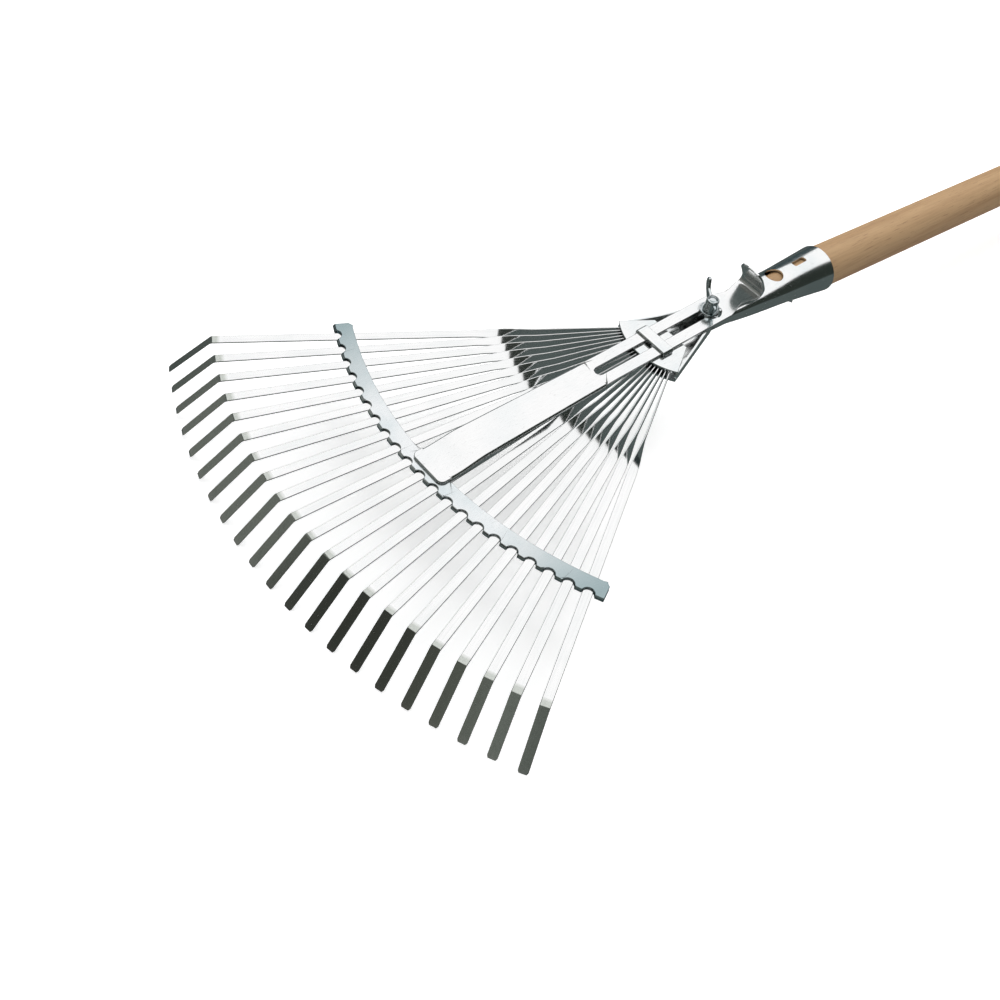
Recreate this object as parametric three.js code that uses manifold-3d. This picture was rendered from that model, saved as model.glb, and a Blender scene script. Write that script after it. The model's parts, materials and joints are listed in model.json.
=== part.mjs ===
// Adjustable leaf rake: twenty-one spring-steel tines fan out from a holder plate on the handle socket.
// A crossbar on a sliding strap spaces them, and a wing nut clamps the strap.
// The head is drawn in its own frame: x runs along the rake towards the handle, y across it, z up,
// with the origin in the middle hole of the crossbar. The rake then lies on its teeth and handle end.
import * as THREE from 'three';
import { mergeVertices } from 'three/addons/utils/BufferGeometryUtils.js';
import Module from 'manifold-3d';

const wasm = await Module();
wasm.setup();

// ---- driving dimensions, millimetres and degrees ----
const GAP = 0.3;                 // running gap between pieces that touch

const TINE_COUNT = 21;
const TINE_WIDTH = 6;
const TINE_THICKNESS = 1;
const TINE_REACH = 76;           // from the crossbar to the tooth bend
const TOOTH_LENGTH = 36.2;
const TOOTH_ANGLE = 43;          // below the run of the tine
const TOOTH_BEND_RADIUS = 3;
const TWIST_SPACE = 1.47;        // between flat tines where they begin to turn on edge
const TWIST_LENGTH = 40;

const FAN_FOCUS = 220;           // where the tines would meet, behind the crossbar
const PIVOT_RADII = [38, 32];    // two staggered rows of root pivots, from the fan focus
const ROOT_TAIL = 2.5;
const LUG_LENGTH = 1.8;
const LUG_CLEARANCE = 0.4;
const TRAVEL = 34;               // of the strap, from the narrow fan to the wide one

const CROSSBAR_RADIUS = 283;
const CROSSBAR_PITCH = 2.483;    // degrees between neighbouring notches
const CROSSBAR_DEPTH = 12;
const CROSSBAR_SHEET = 1;
const CROSSBAR_MARGIN = 1.9;     // degrees of bar beyond the outer notches
const CROSSBAR_CORNER = 3;
const NOTCH_CLEARANCE = 0.46;    // beside a flat tine in its notch, all through the travel
const TINE_PLAY = 0.4;           // above and below a tine between the two flanges

const PLATE_SHEET = 1.4;         // base plate and socket
const COVER_SHEET = 1;
const FRONT_RADIUS = 45;         // front edge of the holder, about the fan focus
const FRONT_MARGIN = 6.3;        // degrees of holder beyond the outer tines
const COVER_REAR = FAN_FOCUS - 15;
const COVER_REAR_HALF_WIDTH = 14.9;
const SKIRT_LEG = 5.4;

// Places along the holder are set from the fan focus.
const NECK_START = FAN_FOCUS + 12;
const NECK_LEVEL_END = FAN_FOCUS + 30;  // the trough is level up to here and deepens into the socket after it
const NECK_HALF_WIDTH = 8.5;
const TROUGH_END = FAN_FOCUS + 65;      // where the open trough closes into a tube
const TROUGH_LIP = 2.2;
const SOCKET_MOUTH = FAN_FOCUS + 134;
const SEAM_START = FAN_FOCUS + 42;
const SEAM_WIDTH = 1.2;
const VIEW_HOLE = { x: FAN_FOCUS + 86, y: 1.5, radius: 6.5 };
const LOCK_SLOT = { x: FAN_FOCUS + 111, y: 1, length: 12, width: 4.6 };
const BARB = { x: FAN_FOCUS + 98, size: 5.5, height: 2.4, drop: 40 };

const HANDLE_DIAMETER = 30;
const HANDLE_LENGTH = 1300;
const HANDLE_CLEARANCE = 0.4;
const HANDLE_END_ROUND = 6;
const HANDLE_TIP = TROUGH_END + 3;

const STRAP_SHEET = 1.6;
const STRAP_FRONT = 5.5;
const STRAP_HALF_WIDTHS = { front: 13.9, loop: 11.3, nut: 11.5, neck: 7.6, tab: 10 };
const STRAP_TAPER = { from: 22, to: FAN_FOCUS - 70 };
const STRAP_JOGGLE = { from: CROSSBAR_DEPTH + 4, to: CROSSBAR_DEPTH + 28 };
const STRAP_SHOULDER = FAN_FOCUS + 31;
const STRAP_NECK = FAN_FOCUS + 44;
const STRAP_TAB = FAN_FOCUS + 56;
const TAB_BEND_RADIUS = 5;
const TAB_LEAN = 28;             // degrees past upright, back towards the nut
const TAB_LENGTH = 15;
const TAB_CORNER = 7;
const SLOT_FRONT = FAN_FOCUS - 81.7;
const SLOT_CLEARANCE = 0.4;
const FLANGE_FRONT = CROSSBAR_DEPTH + 1.2;
const FLANGE_STEP = 76;          // where the turned-down sides become shallower
const FLANGE_STOP = 1;           // left before the sides meet the holder, when the fan is at its widest

const BOLT_X = FAN_FOCUS + 20.6;
const BOLT_DIAMETER = 5.8;
const BOLT_HEAD = { radius: 6.2, height: 2.8 };
const WASHER = { radius: 7, thickness: 1.1 };
const NUT = { foot: 5.4, crown: 4.4, height: 8.2, ear: 2.4, span: 17, rise: 13.6, turn: 58 };

const KEEPER = { x: FAN_FOCUS - 34.4, width: 8.4, sheet: 1.3, side: 0.5, round: 2 };

// ---- levels that follow from the sizes above ----
const radians = THREE.MathUtils.degToRad;
const edgeTop = TINE_WIDTH / 2;                              // top of a tine that stands on edge
const coverBottom = edgeTop + GAP;
const coverTop = coverBottom + COVER_SHEET;
const baseTop = -edgeTop - GAP;
const baseBottom = baseTop - PLATE_SHEET;
const crossbarInner = TINE_THICKNESS / 2 + TINE_PLAY;
const crossbarOuter = crossbarInner + CROSSBAR_SHEET;
const strapBottom = coverTop + GAP;
const strapTop = strapBottom + STRAP_SHEET;
const strapFrontBottom = crossbarOuter + GAP;
const socketTop = strapBottom - GAP;
const socketRadius = HANDLE_DIAMETER / 2 + HANDLE_CLEARANCE + PLATE_SHEET;
const neckHalfHeight = (socketTop - baseBottom) / 2;
const socketSlope = (socketRadius - neckHalfHeight) / (SOCKET_MOUTH - NECK_LEVEL_END);
const handleTilt = Math.atan(socketSlope);
const boltRadius = BOLT_DIAMETER / 2;
const slotHalfWidth = boltRadius + SLOT_CLEARANCE;
const flangeEnd = FAN_FOCUS - FRONT_RADIUS - TRAVEL - FLANGE_STOP;

// ---- materials ----
const metal = (color, roughness) => new THREE.MeshStandardMaterial({ color, roughness, metalness: 0.9 });
const zinc = metal(0xdfe3e4, 0.28);
const darkZinc = metal(0x8f9a9b, 0.32);
const tineSteel = metal(0xd7dadb, 0.25);
const boltSteel = metal(0xb9bfc0, 0.35);
const wood = new THREE.MeshStandardMaterial({ color: 0xbe9466, roughness: 0.7, metalness: 0 });

// ---- solids: joining and cutting closed three.js meshes ----
function toSolid(geometry) {
  let bare = geometry.clone();
  for (const name of Object.keys(bare.attributes)) {
    if (name !== 'position') bare.deleteAttribute(name);
  }
  bare = mergeVertices(bare, 1e-4);
  const vertProperties = new Float32Array(bare.attributes.position.array);
  const triVerts = new Uint32Array(bare.index.array);
  return new wasm.Manifold(new wasm.Mesh({ numProp: 3, vertProperties, triVerts }));
}

function toGeometry(solid) {
  const mesh = solid.getMesh();
  const geometry = new THREE.BufferGeometry();
  const points = new Float32Array(mesh.triVerts.length * 3);
  mesh.triVerts.forEach((vertex, corner) => {
    for (let axis = 0; axis < 3; axis += 1) {
      points[corner * 3 + axis] = mesh.vertProperties[vertex * mesh.numProp + axis];
    }
  });
  geometry.setAttribute('position', new THREE.BufferAttribute(points, 3));
  geometry.computeVertexNormals();
  return geometry;
}

function join(...geometries) {
  return geometries.map(toSolid).reduce((whole, part) => whole.add(part));
}

function cut(solid, ...cutters) {
  return cutters.map(toSolid).reduce((whole, cutter) => whole.subtract(cutter), solid);
}

function named(name, source, material) {
  const geometry = source.isBufferGeometry ? source : toGeometry(source);
  const mesh = new THREE.Mesh(geometry, material);
  mesh.name = name;
  return mesh;
}

// ---- shapes ----
function polygon(points) {
  return new THREE.Shape(points.map(([x, y]) => new THREE.Vector2(x, y)));
}

function plate(shape, bottom, top, curveSegments = 12) {
  const depth = top - bottom;
  const geometry = new THREE.ExtrudeGeometry(shape, { depth, bevelEnabled: false, curveSegments });
  return geometry.translate(0, 0, bottom);
}

// A profile drawn in x and z, extruded across the rake from y = near to y = far.
function sideways(shape, near, far, curveSegments = 12) {
  const depth = far - near;
  const geometry = new THREE.ExtrudeGeometry(shape, { depth, bevelEnabled: false, curveSegments });
  return geometry.rotateX(Math.PI / 2).translate(0, far, 0);
}

// A profile drawn in y and z, extruded along the rake from x = start to x = end.
function lengthways(shape, start, end, curveSegments = 8) {
  const depth = end - start;
  const geometry = new THREE.ExtrudeGeometry(shape, { depth, bevelEnabled: false, curveSegments });
  return geometry.rotateX(Math.PI / 2).rotateZ(Math.PI / 2).translate(start, 0, 0);
}

function post(x, y, radius, bottom, top, segments = 16) {
  const geometry = new THREE.CylinderGeometry(radius, radius, top - bottom, segments);
  return geometry.rotateX(Math.PI / 2).translate(x, y, (bottom + top) / 2);
}

function block(x0, x1, y0, y1, z0, z1) {
  const geometry = new THREE.BoxGeometry(x1 - x0, y1 - y0, z1 - z0);
  return geometry.translate((x0 + x1) / 2, (y0 + y1) / 2, (z0 + z1) / 2);
}

function roundedRectangle(x0, x1, y0, y1, radius) {
  const shape = new THREE.Shape();
  shape.absarc(x1 - radius, y1 - radius, radius, 0, Math.PI / 2);
  shape.absarc(x0 + radius, y1 - radius, radius, Math.PI / 2, Math.PI);
  shape.absarc(x0 + radius, y0 + radius, radius, Math.PI, Math.PI * 1.5);
  shape.absarc(x1 - radius, y0 + radius, radius, Math.PI * 1.5, Math.PI * 2);
  return shape;
}

// A sheet of even thickness seen from its edge: a centre line thickened to both sides.
function ribbon(line, thickness) {
  const sides = [[], []];
  line.forEach((point, index) => {
    const before = line[Math.max(index - 1, 0)];
    const after = line[Math.min(index + 1, line.length - 1)];
    const along = new THREE.Vector2().subVectors(after, before).normalize();
    const normal = new THREE.Vector2(-along.y, along.x).multiplyScalar(thickness / 2);
    sides[0].push(point.clone().add(normal));
    sides[1].unshift(point.clone().sub(normal));
  });
  return new THREE.Shape([...sides[0], ...sides[1]]);
}

// ---- tines ----
// Each tine turns on a root lug in the base plate, so that it follows its crossbar notch as the strap slides.
function tineLayout(index) {
  const step = index - (TINE_COUNT - 1) / 2;
  const notchAngle = radians(CROSSBAR_PITCH) * step;
  const notchX = CROSSBAR_RADIUS * (1 - Math.cos(notchAngle));
  const notchY = CROSSBAR_RADIUS * Math.sin(notchAngle);
  const aim = Math.atan2(notchY, FAN_FOCUS - notchX);
  const pivotRadius = PIVOT_RADII[Math.abs(step) % 2];
  const pivotX = FAN_FOCUS - pivotRadius * Math.cos(aim);
  const pivotY = pivotRadius * Math.sin(aim);
  const angleAt = (slide) => Math.atan2(notchY - pivotY, pivotX - notchX - slide);
  const closed = angleAt(0);
  const turn = (angleAt(TRAVEL) - closed) / TRAVEL;
  const sag = closed + (turn * TRAVEL) / 2 - angleAt(TRAVEL / 2);
  const length = Math.hypot(notchY - pivotY, pivotX - notchX);
  // A constant ratio holds the tine within half the sag of its notch's true direction.
  const wander = (Math.abs(sag) / 2) * length;
  const angle = closed - sag / 2;
  return { aim, notchAngle, notchX, notchY, pivotX, pivotY, angle, turn, wander, length };
}

const tines = Array.from({ length: TINE_COUNT }, (_, index) => tineLayout(index));
const outerTine = tines[TINE_COUNT - 1];
const frontHalfWidth = FRONT_RADIUS * Math.sin(outerTine.aim + radians(FRONT_MARGIN));
const notchLean = (1 / Math.cos(outerTine.angle - outerTine.notchAngle) - 1) * (TINE_WIDTH / 2);
const notchPlay = Math.max(...tines.map((tine) => tine.wander)) + NOTCH_CLEARANCE;
const notchRadius = TINE_WIDTH / 2 + notchLean + notchPlay;
const twistStart = FAN_FOCUS * (1 - (TINE_WIDTH + TWIST_SPACE) / (CROSSBAR_RADIUS * radians(CROSSBAR_PITCH)));

// One tine along -x from its pivot at the origin: on edge at the root, twisted flat, bent down at the tooth.
function tineGeometry(length) {
  const bendAngle = radians(TOOTH_ANGLE);
  const bendLength = TOOTH_BEND_RADIUS * bendAngle;
  const flatStart = length - twistStart - TWIST_LENGTH;
  const bendStart = length + TINE_REACH - bendLength / 2;
  const stations = [-ROOT_TAIL, flatStart];
  const twistSteps = 10;
  for (let step = 1; step <= twistSteps; step += 1) {
    stations.push(flatStart + (TWIST_LENGTH * step) / twistSteps);
  }
  const bendSteps = 5;
  for (let step = 0; step <= bendSteps; step += 1) stations.push(bendStart + (bendLength * step) / bendSteps);
  const tip = bendStart + bendLength / 2 + TOOTH_LENGTH;
  stations.push(tip - 1.2, tip - 0.4, tip);
  const count = stations.length - 1;
  const geometry = new THREE.BoxGeometry(count, TINE_WIDTH, TINE_THICKNESS, count, 1, 1);
  const position = geometry.attributes.position;
  for (let vertex = 0; vertex < position.count; vertex += 1) {
    const station = Math.round(position.getX(vertex) + count / 2);
    const run = stations[station];
    const narrowing = [0, 0.35, 1.2][Math.max(station - count + 2, 0)];
    const across = position.getY(vertex) * (1 - narrowing / TINE_WIDTH);
    const up = position.getZ(vertex);
    const turned = THREE.MathUtils.smoothstep(run, flatStart, flatStart + TWIST_LENGTH);
    const twist = (Math.PI / 2) * (1 - turned);
    const y = across * Math.cos(twist) - up * Math.sin(twist);
    const z = across * Math.sin(twist) + up * Math.cos(twist);
    const bent = THREE.MathUtils.clamp((run - bendStart) / TOOTH_BEND_RADIUS, 0, bendAngle);
    const straight = Math.min(run, bendStart);
    const beyond = Math.max(run - bendStart - bendLength, 0);
    const x = straight + TOOTH_BEND_RADIUS * Math.sin(bent) + beyond * Math.cos(bent) - z * Math.sin(bent);
    const drop = TOOTH_BEND_RADIUS * (1 - Math.cos(bent)) + beyond * Math.sin(bent) - z * Math.cos(bent);
    position.setXYZ(vertex, -x, y, -drop);
  }
  const lugBottom = baseBottom - 0.4;
  const half = TINE_THICKNESS / 2;
  const lug = block(-LUG_LENGTH / 2, LUG_LENGTH / 2, -half, half, lugBottom, -edgeTop + 1);
  // Mirroring along x turns the faces inside out, so their winding is turned back.
  const index = geometry.index.array;
  for (let corner = 0; corner < index.length; corner += 3) {
    [index[corner], index[corner + 1]] = [index[corner + 1], index[corner]];
  }
  return join(geometry, lug);
}

// ---- crossbar ----
// A sheet folded to a U that lies on its side around an arc, with its fold towards the teeth.
function crossbarSolid() {
  const halfAngle = outerTine.notchAngle + radians(CROSSBAR_MARGIN);
  const foldRadius = crossbarOuter;
  const back = -CROSSBAR_DEPTH;
  const profile = new THREE.Shape();
  profile.moveTo(back, -crossbarOuter);
  profile.absarc(-foldRadius, 0, foldRadius, -Math.PI / 2, Math.PI / 2);
  profile.lineTo(back, crossbarOuter);
  profile.lineTo(back, crossbarInner);
  profile.absarc(-foldRadius, 0, crossbarInner, Math.PI / 2, -Math.PI / 2, true);
  profile.lineTo(back, -crossbarInner);
  const steps = TINE_COUNT + 1;
  const bar = new THREE.ExtrudeGeometry(profile, { depth: 1, steps, bevelEnabled: false, curveSegments: 3 });
  const position = bar.attributes.position;
  for (let vertex = 0; vertex < position.count; vertex += 1) {
    const radius = CROSSBAR_RADIUS + position.getX(vertex);
    const angle = halfAngle * (2 * position.getZ(vertex) - 1);
    const x = CROSSBAR_RADIUS - radius * Math.cos(angle);
    position.setXYZ(vertex, x, radius * Math.sin(angle), position.getY(vertex));
  }
  const notches = tines.map((tine) => post(tine.notchX, tine.notchY, notchRadius, -5, 5, 16));
  const corners = [1, -1].map((side) => {
    const size = CROSSBAR_CORNER;
    const angle = side * halfAngle;
    const geometry = new THREE.BoxGeometry(size, size, 10).rotateZ(Math.PI / 4);
    const radius = CROSSBAR_RADIUS - CROSSBAR_DEPTH;
    return geometry.translate(CROSSBAR_RADIUS - radius * Math.cos(angle), radius * Math.sin(angle), 0);
  });
  return cut(toSolid(bar), ...notches, ...corners);
}

// ---- adjusting strap ----
function strapOutline() {
  const { front, loop, nut, neck, tab } = STRAP_HALF_WIDTHS;
  const corner = 4;
  const side = new THREE.Shape();
  side.moveTo(STRAP_FRONT, 0);
  side.lineTo(STRAP_FRONT, front - corner);
  side.absarc(STRAP_FRONT + corner, front - corner, corner, Math.PI, Math.PI / 2, true);
  side.lineTo(STRAP_TAPER.from, front);
  side.lineTo(STRAP_TAPER.to, loop);
  side.lineTo(STRAP_SHOULDER, nut);
  side.quadraticCurveTo(STRAP_NECK - 8, neck, STRAP_NECK, neck);
  side.quadraticCurveTo(STRAP_TAB - 5, neck, STRAP_TAB, tab);
  side.lineTo(STRAP_TAB + 20, tab);
  const upper = side.getPoints(8);
  const lower = upper.map((point) => new THREE.Vector2(point.x, -point.y)).reverse();
  return new THREE.Shape([...upper, ...lower.slice(0, -1)]);
}

function strapCentreLine() {
  const half = STRAP_SHEET / 2;
  const level = strapBottom + half;
  const frontLevel = strapFrontBottom + half;
  const line = [new THREE.Vector2(STRAP_FRONT - 2, frontLevel)];
  const joggleSteps = 6;
  for (let step = 0; step <= joggleSteps; step += 1) {
    const x = THREE.MathUtils.lerp(STRAP_JOGGLE.from, STRAP_JOGGLE.to, step / joggleSteps);
    const rise = THREE.MathUtils.smoothstep(x, STRAP_JOGGLE.from, STRAP_JOGGLE.to);
    line.push(new THREE.Vector2(x, THREE.MathUtils.lerp(frontLevel, level, rise)));
  }
  const bendSteps = 9;
  const bend = radians(90 + TAB_LEAN);
  for (let step = 0; step <= bendSteps; step += 1) {
    const angle = (bend * step) / bendSteps;
    const x = STRAP_TAB + TAB_BEND_RADIUS * Math.sin(angle);
    line.push(new THREE.Vector2(x, level + TAB_BEND_RADIUS * (1 - Math.cos(angle))));
  }
  const last = line[line.length - 1];
  line.push(new THREE.Vector2(last.x + TAB_LENGTH * Math.cos(bend), last.y + TAB_LENGTH * Math.sin(bend)));
  return line;
}

// The strap's sides are turned down behind the crossbar. They shrink towards the holder, and their
// ends meet its front edge when the fan is at its widest.
function strapFlange(side) {
  const lowest = TINE_THICKNESS / 2 + GAP + 0.15;
  const shallow = edgeTop + GAP + 0.1;
  const { from, to } = STRAP_TAPER;
  const slope = Math.atan((STRAP_HALF_WIDTHS.front - STRAP_HALF_WIDTHS.loop) / (to - from));
  const shape = polygon([
    [FLANGE_FRONT, strapFrontBottom + STRAP_SHEET / 2],
    [FLANGE_FRONT, lowest],
    [STRAP_JOGGLE.to, lowest],
    [FLANGE_STEP, shallow],
    [flangeEnd, shallow],
    [flangeEnd, strapBottom + STRAP_SHEET / 2],
    [STRAP_JOGGLE.to, strapBottom + STRAP_SHEET / 2],
    [STRAP_JOGGLE.from, strapFrontBottom + STRAP_SHEET / 2],
  ]);
  const flange = sideways(shape, -STRAP_SHEET / 2, STRAP_SHEET / 2);
  flange.translate(-from, 0, 0).rotateZ(-side * slope);
  return flange.translate(from, side * (STRAP_HALF_WIDTHS.front - STRAP_SHEET / 2), 0);
}

function strapSolid() {
  const reach = 40;
  const outline = plate(strapOutline(), -reach, reach, 8);
  const profile = sideways(ribbon(strapCentreLine(), STRAP_SHEET), -reach, reach);
  const line = strapCentreLine();
  const tabTop = line[line.length - 1].y + STRAP_SHEET;
  const tabHalf = STRAP_HALF_WIDTHS.tab;
  const lobe = roundedRectangle(-tabHalf, tabHalf, -reach, tabTop, TAB_CORNER);
  const ends = join(
    lengthways(lobe, STRAP_TAB - reach, STRAP_TAB + reach),
    block(-reach, STRAP_TAB - 2, -reach, reach, -reach, reach),
  );
  const sheet = toSolid(outline).intersect(toSolid(profile)).intersect(ends);
  const slotEnd = BOLT_X + slotHalfWidth;
  const slot = roundedRectangle(SLOT_FRONT, slotEnd, -slotHalfWidth, slotHalfWidth, slotHalfWidth - 0.01);
  const flanged = sheet.add(toSolid(strapFlange(1))).add(toSolid(strapFlange(-1)));
  return cut(flanged, plate(slot, -reach, reach, 6));
}

// ---- holder: base plate with its socket, cover plate and keeper ----
function frontArcStart() {
  return Math.asin(frontHalfWidth / FRONT_RADIUS);
}

function frontCornerX() {
  return FAN_FOCUS - FRONT_RADIUS * Math.cos(frontArcStart());
}

function fanOutline(rearX, rearHalfWidth) {
  const start = frontArcStart();
  const shape = new THREE.Shape();
  shape.moveTo(rearX, -rearHalfWidth);
  shape.lineTo(rearX, rearHalfWidth);
  shape.absarc(FAN_FOCUS, 0, FRONT_RADIUS, Math.PI - start, Math.PI + start, false);
  return shape;
}

// The trough and socket are one rolled sheet: squarish and flat at the neck, round at the mouth.
function socketSection(x) {
  const along = (x - NECK_START) / (SOCKET_MOUTH - NECK_START);
  const deepening = Math.max(x - NECK_LEVEL_END, 0) * socketSlope;
  const width = THREE.MathUtils.lerp(NECK_HALF_WIDTH, socketRadius, along);
  const height = neckHalfHeight + deepening;
  const roundness = THREE.MathUtils.smoothstep(x, NECK_START, SOCKET_MOUTH - 40);
  return { width, height, power: THREE.MathUtils.lerp(5, 2, roundness) };
}

function socketSkin(inset, start, end, rings) {
  const geometry = new THREE.CylinderGeometry(1, 1, 1, 36, rings);
  const position = geometry.attributes.position;
  for (let vertex = 0; vertex < position.count; vertex += 1) {
    const ring = Math.round((position.getY(vertex) + 0.5) * rings);
    const x = ring === 0 ? start : THREE.MathUtils.lerp(NECK_LEVEL_END, end, (ring - 1) / (rings - 1));
    const { width, height, power } = socketSection(x);
    const across = -position.getX(vertex);
    const up = position.getZ(vertex);
    const size = (Math.abs(across) ** power + Math.abs(up) ** power) ** (1 / power);
    const rim = Math.hypot(across, up);
    const scale = size > 0 ? rim / size : 0;
    const y = across * scale * (width - inset);
    const z = socketTop - height + up * scale * (height - inset);
    position.setXYZ(vertex, x, y, z);
  }
  return geometry;
}

function flankWall(side) {
  const frontX = frontCornerX();
  const run = NECK_START + 4 - frontX;
  const rise = frontHalfWidth - NECK_HALF_WIDTH;
  const length = Math.hypot(run, rise);
  const nose = (edgeTop - baseBottom) / 2;
  const middle = (edgeTop + baseBottom) / 2;
  const elevation = new THREE.Shape();
  elevation.moveTo(length, baseBottom);
  elevation.lineTo(length, socketTop);
  elevation.lineTo(length * 0.72, socketTop);
  elevation.lineTo(length * 0.5, edgeTop);
  elevation.absarc(nose, middle, nose, Math.PI / 2, Math.PI * 1.5, false);
  const wall = sideways(elevation, 0, PLATE_SHEET, 8).rotateZ(-Math.atan2(rise, run));
  wall.translate(frontX, frontHalfWidth - PLATE_SHEET, 0);
  return side > 0 ? wall : mirrored(wall);
}

// The same piece on the other side of the rake: mirrored in y with its faces turned back out.
function mirrored(geometry) {
  const copy = geometry.clone();
  const position = copy.attributes.position;
  for (let corner = 0; corner < position.count; corner += 3) {
    for (let vertex = corner; vertex < corner + 3; vertex += 1) position.setY(vertex, -position.getY(vertex));
    const first = new THREE.Vector3().fromBufferAttribute(position, corner);
    const second = new THREE.Vector3().fromBufferAttribute(position, corner + 1);
    position.setXYZ(corner, second.x, second.y, second.z);
    position.setXYZ(corner + 1, first.x, first.y, first.z);
  }
  return copy;
}

function baseSolid() {
  const fan = plate(fanOutline(NECK_START + 4, NECK_HALF_WIDTH), baseBottom, baseTop, 20);
  const tube = join(socketSkin(0, NECK_START, SOCKET_MOUTH, 11), barb());
  const bore = socketSkin(PLATE_SHEET, NECK_START - 3, SOCKET_MOUTH + 1, 11);
  const troughHalf = NECK_HALF_WIDTH - TROUGH_LIP;
  const opening = roundedRectangle(NECK_START - 20, TROUGH_END, -troughHalf, troughHalf, troughHalf - 0.01);
  const high = socketTop + 5;
  const lockHalf = LOCK_SLOT.length / 2;
  const lockSide = LOCK_SLOT.width / 2;
  const lockY = LOCK_SLOT.y;
  const lockX = LOCK_SLOT.x;
  const lock = roundedRectangle(lockX - lockHalf, lockX + lockHalf, lockY - lockSide, lockY + lockSide, 1.4);
  const mouth = socketSection(SOCKET_MOUTH);
  const deepest = socketTop - 2 * mouth.height - 2;
  const shell = cut(
    tube,
    bore,
    plate(opening, 0, high, 8),
    post(VIEW_HOLE.x, VIEW_HOLE.y, VIEW_HOLE.radius, socketTop - 4, high, 28),
    plate(lock, socketTop - 5, high, 4),
    block(SEAM_START, SOCKET_MOUTH + 1, -SEAM_WIDTH / 2, SEAM_WIDTH / 2, deepest, socketTop - mouth.height),
  );
  const lugHoleRadius = Math.hypot(LUG_LENGTH, TINE_THICKNESS) / 2 + LUG_CLEARANCE;
  const below = baseBottom - 1;
  const lugHoles = tines.map((tine) => post(tine.pivotX, tine.pivotY, lugHoleRadius, below, baseTop + 1, 8));
  const plateWithWalls = join(fan, flankWall(1), flankWall(-1));
  const boltHole = post(BOLT_X, 0, boltRadius + SLOT_CLEARANCE, below, baseTop + 1, 20);
  return cut(shell.add(plateWithWalls), ...lugHoles, boltHole);
}

// A three-sided barb struck up in the lower side of the socket.
function barb() {
  const { width, height } = socketSection(BARB.x);
  const angle = -radians(BARB.drop);
  const pyramid = new THREE.ConeGeometry(BARB.size, BARB.height * 2, 3).rotateX(Math.PI / 2);
  pyramid.rotateZ(Math.PI / 2).scale(1.35, 0.6, 1).rotateX(Math.PI / 2 - angle);
  const y = -(width - PLATE_SHEET / 2) * Math.cos(angle);
  const z = socketTop - height + (height - PLATE_SHEET / 2) * Math.sin(angle);
  return pyramid.translate(BARB.x, y, z);
}

function coverSolid() {
  const sheet = plate(fanOutline(COVER_REAR, COVER_REAR_HALF_WIDTH), coverBottom, coverTop, 20);
  const edge = COVER_REAR_HALF_WIDTH;
  const legs = [-edge, -SKIRT_LEG / 2, edge - SKIRT_LEG].map((near) => (
    block(COVER_REAR - COVER_SHEET, COVER_REAR, near, near + SKIRT_LEG, baseTop + GAP, coverTop)
  ));
  return join(sheet, ...legs);
}

function keeperSolid() {
  const inner = STRAP_HALF_WIDTHS.nut + KEEPER.side;
  const outer = inner + KEEPER.sheet;
  const top = strapTop + GAP + KEEPER.sheet;
  const foot = coverTop + GAP;
  const outside = roundedRectangle(-outer, outer, foot - 10, top, KEEPER.round);
  const inside = roundedRectangle(-inner, inner, foot - 12, top - KEEPER.sheet, KEEPER.round - KEEPER.sheet);
  const end = KEEPER.x + KEEPER.width;
  const bridge = cut(toSolid(lengthways(outside, KEEPER.x, end)), lengthways(inside, KEEPER.x - 1, end + 1));
  return cut(bridge, block(KEEPER.x - 5, end + 5, -40, 40, foot - 20, foot));
}

// ---- clamp: bolt, washer and wing nut ----
function turned(points, segments = 24) {
  const profile = points.map(([radius, height]) => new THREE.Vector2(radius, height));
  return new THREE.LatheGeometry(profile, segments).rotateX(Math.PI / 2);
}

const washerBottom = strapTop + GAP;
const washerTop = washerBottom + WASHER.thickness;
const nutBottom = washerTop + GAP;
const nutTop = nutBottom + NUT.height;

function boltGeometry() {
  const headTop = baseBottom - GAP;
  const headBottom = headTop - BOLT_HEAD.height;
  const top = nutTop - 0.8;
  return turned([
    [0, headBottom],
    [BOLT_HEAD.radius * 0.55, headBottom + 0.4],
    [BOLT_HEAD.radius, headTop - 0.8],
    [BOLT_HEAD.radius, headTop],
    [boltRadius, headTop],
    [boltRadius, top - 0.6],
    [boltRadius - 0.6, top],
    [0, top],
  ]).translate(BOLT_X, 0, 0);
}

function washerGeometry() {
  const bore = boltRadius + GAP;
  return turned([
    [bore, washerBottom],
    [WASHER.radius, washerBottom],
    [WASHER.radius, washerTop],
    [bore, washerTop],
    [bore, washerBottom],
  ], 32).translate(BOLT_X, 0, 0);
}

function wingNutSolid() {
  const bore = boltRadius + GAP;
  const hub = turned([
    [0, nutBottom],
    [NUT.foot, nutBottom],
    [NUT.foot, nutBottom + 1.6],
    [NUT.crown, nutTop - 0.8],
    [NUT.crown - 0.6, nutTop],
    [0, nutTop],
  ]);
  const { span, rise } = NUT;
  const ear = new THREE.Shape();
  ear.moveTo(NUT.crown - 1.6, nutBottom + 0.8);
  ear.lineTo(NUT.foot + 1.5, nutBottom + 1.2);
  ear.quadraticCurveTo(span, nutBottom + 5, span, nutBottom + rise - 4);
  ear.quadraticCurveTo(span, nutBottom + rise, span - 2.6, nutBottom + rise);
  ear.quadraticCurveTo(span - 5, nutBottom + rise, span - 5.4, nutBottom + rise - 5);
  ear.quadraticCurveTo(span - 6.4, nutTop - 1, NUT.crown - 1.6, nutTop - 1.4);
  const ears = [0, Math.PI].map((turn) => sideways(ear, -NUT.ear / 2, NUT.ear / 2, 6).rotateZ(turn));
  const nut = cut(join(hub, ...ears), post(0, 0, bore, nutBottom - 1, nutTop + 1, 20));
  return nut.rotate([0, 0, NUT.turn]).translate([BOLT_X, 0, 0]);
}

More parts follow.
